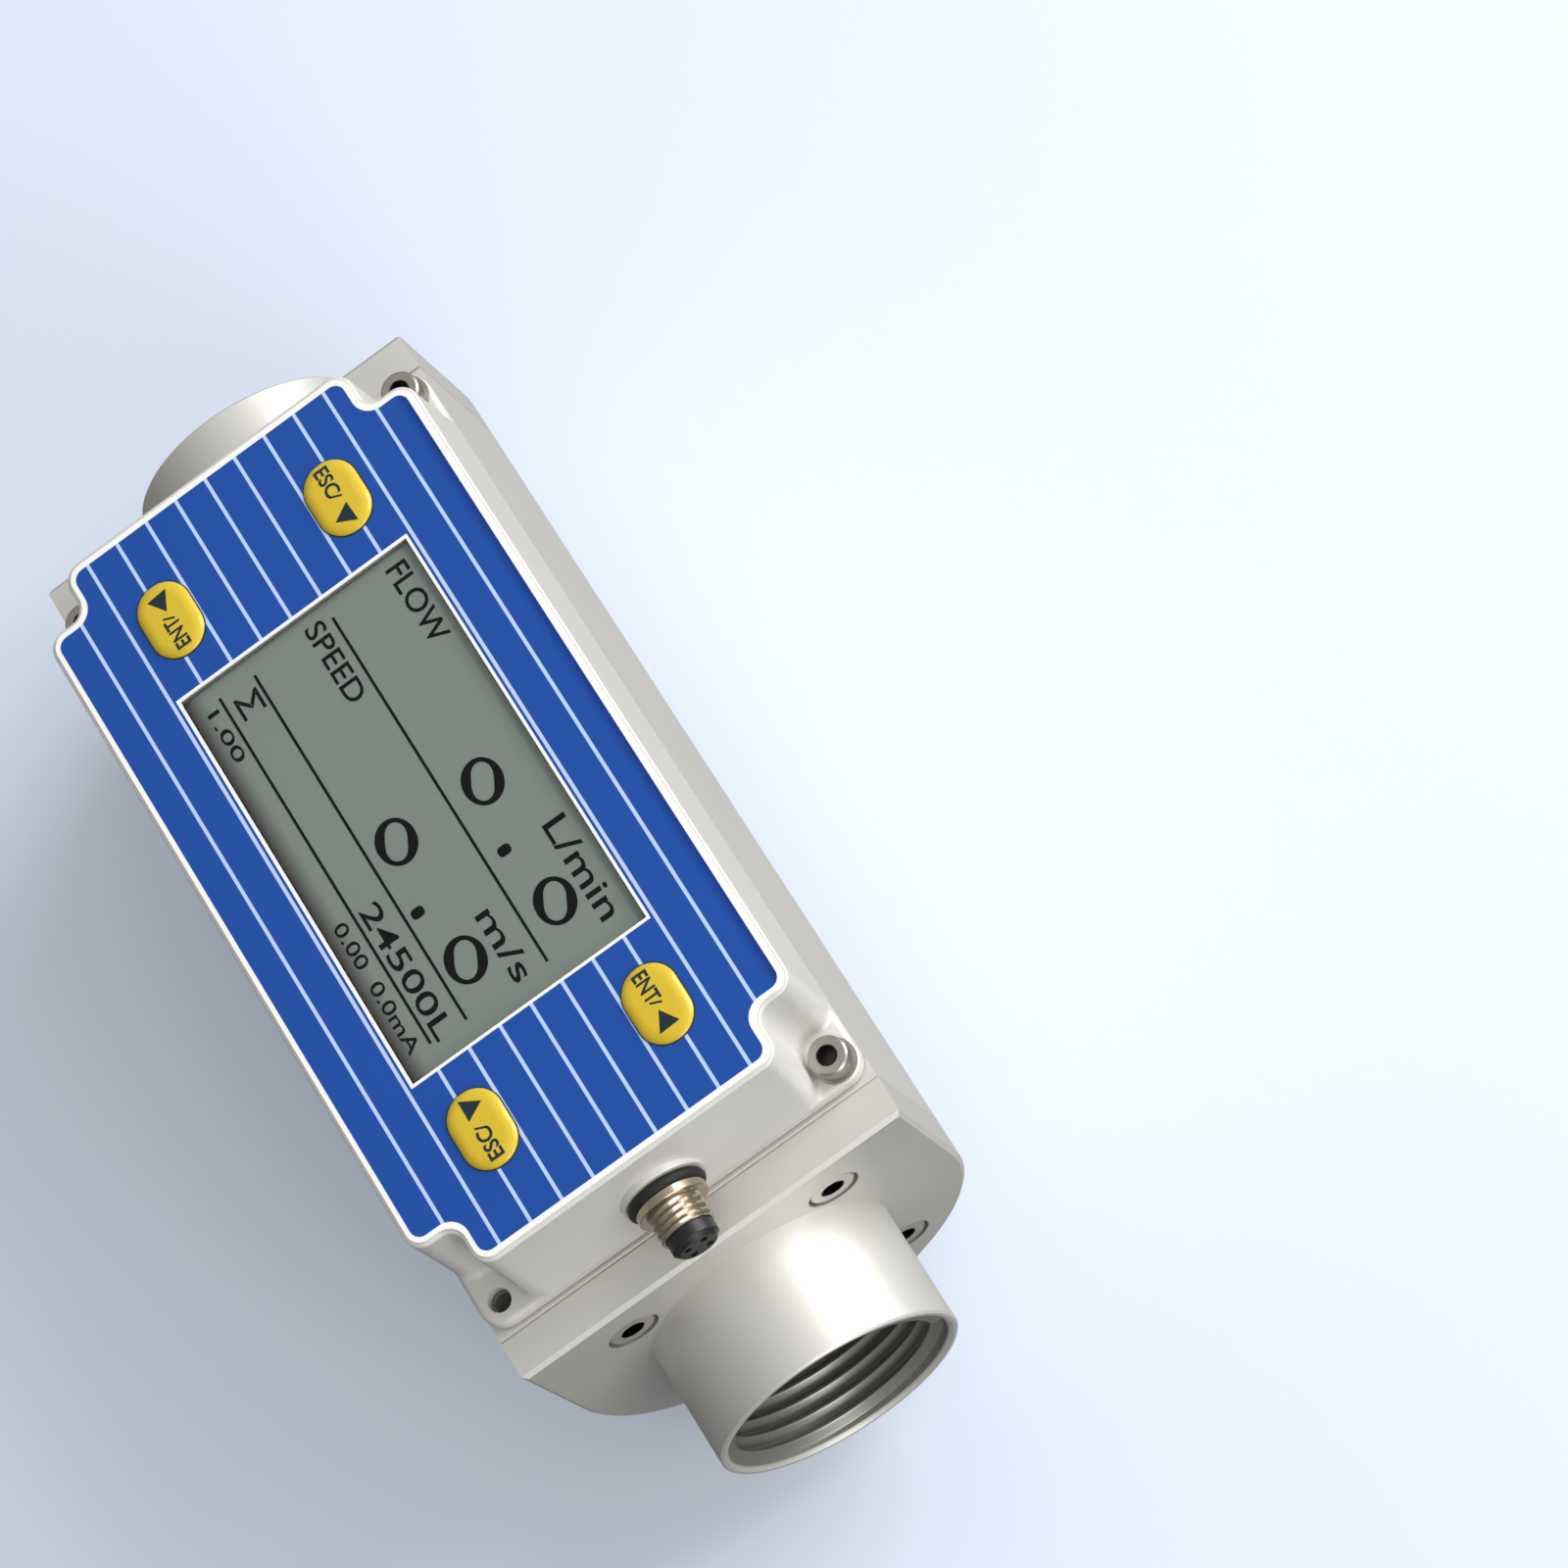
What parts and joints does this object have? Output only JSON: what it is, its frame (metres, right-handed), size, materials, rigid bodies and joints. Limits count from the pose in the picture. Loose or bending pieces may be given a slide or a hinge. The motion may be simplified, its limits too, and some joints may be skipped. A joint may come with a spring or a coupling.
{
  "type": "thermal mass flow meter",
  "caption": "In-line thermal gas mass flow meter: aluminium flow body with threaded ports, cast cover, blue face label, display, yellow keys and a panel connector.",
  "frame": {"origin": "centre of the inlet port, where its full thread begins, on the flow axis", "axes": "+X along the flow from inlet to outlet, +Z from the flow axis to the display face"},
  "size_m": [0.162, 0.06, 0.074],
  "materials": {
    "body_alloy": "fine blasted, satin",
    "port_alloy": "turned, bright satin",
    "cover_alloy": "die cast, painted warm light grey, satin",
    "black_rubber": "smooth",
    "screw_steel": "stainless, plain",
    "probe_plastic": "plain",
    "chip_dark": "polished",
    "label_blue": "printed polyester film, satin",
    "window_clear": "clear, polished",
    "display_grey": "reflective liquid crystal",
    "tray_white": "plain",
    "board_green": "solder mask",
    "insert_black": "plain",
    "connector_nickel": "nickel plated brass",
    "contact_gold": "gold plated",
    "key_yellow": "moulded, satin"
  },
  "bodies": {
    "meter": {"backlight_tray": "tray_white", "board_header": "insert_black", "board_standoffs": "contact_gold", "connector_contacts": "contact_gold", "connector_insert": "insert_black", "connector_nut": "connector_nickel", "connector_seal": "black_rubber", "connector_shell": "connector_nickel", "cover": "cover_alloy", "cover_gasket": "black_rubber", "cover_screws": "screw_steel", "cover_washers": "screw_steel", "display_board": "board_green", "display_board_screws": "screw_steel", "display_panel": "display_grey", "display_window": "window_clear", "face_label": "label_blue", "flow_body": "body_alloy", "flow_straightener": "port_alloy", "inlet_fitting": "port_alloy", "inlet_fitting_screws": "screw_steel", "inlet_fitting_seal": "black_rubber", "inlet_screen": "screw_steel", "key_switches": "insert_black", "main_board": "board_green", "main_board_screws": "screw_steel", "outlet_fitting": "port_alloy", "outlet_fitting_screws": "screw_steel", "outlet_fitting_seal": "black_rubber", "outlet_screen": "screw_steel", "sensor_chip": "chip_dark", "sensor_probe": "probe_plastic", "sensor_screws": "screw_steel", "sensor_seal": "black_rubber"},
    "inlet_left_key": {"key_inlet_left": "key_yellow"},
    "inlet_right_key": {"key_inlet_right": "key_yellow"},
    "outlet_left_key": {"key_outlet_left": "key_yellow"},
    "outlet_right_key": {"key_outlet_right": "key_yellow"}
  },
  "joints": [
    {"name": "inlet_left_press", "type": "slide", "parent": "meter", "child": "inlet_left_key", "axis": [0, 0, 1], "range_m": [-0.0004, 0], "stiffness_N_per_m": 600},
    {"name": "inlet_right_press", "type": "slide", "parent": "meter", "child": "inlet_right_key", "axis": [0, 0, 1], "range_m": [-0.0004, 0], "stiffness_N_per_m": 600},
    {"name": "outlet_left_press", "type": "slide", "parent": "meter", "child": "outlet_left_key", "axis": [0, 0, 1], "range_m": [-0.0004, 0], "stiffness_N_per_m": 600},
    {"name": "outlet_right_press", "type": "slide", "parent": "meter", "child": "outlet_right_key", "axis": [0, 0, 1], "range_m": [-0.0004, 0], "stiffness_N_per_m": 600}
  ]
}
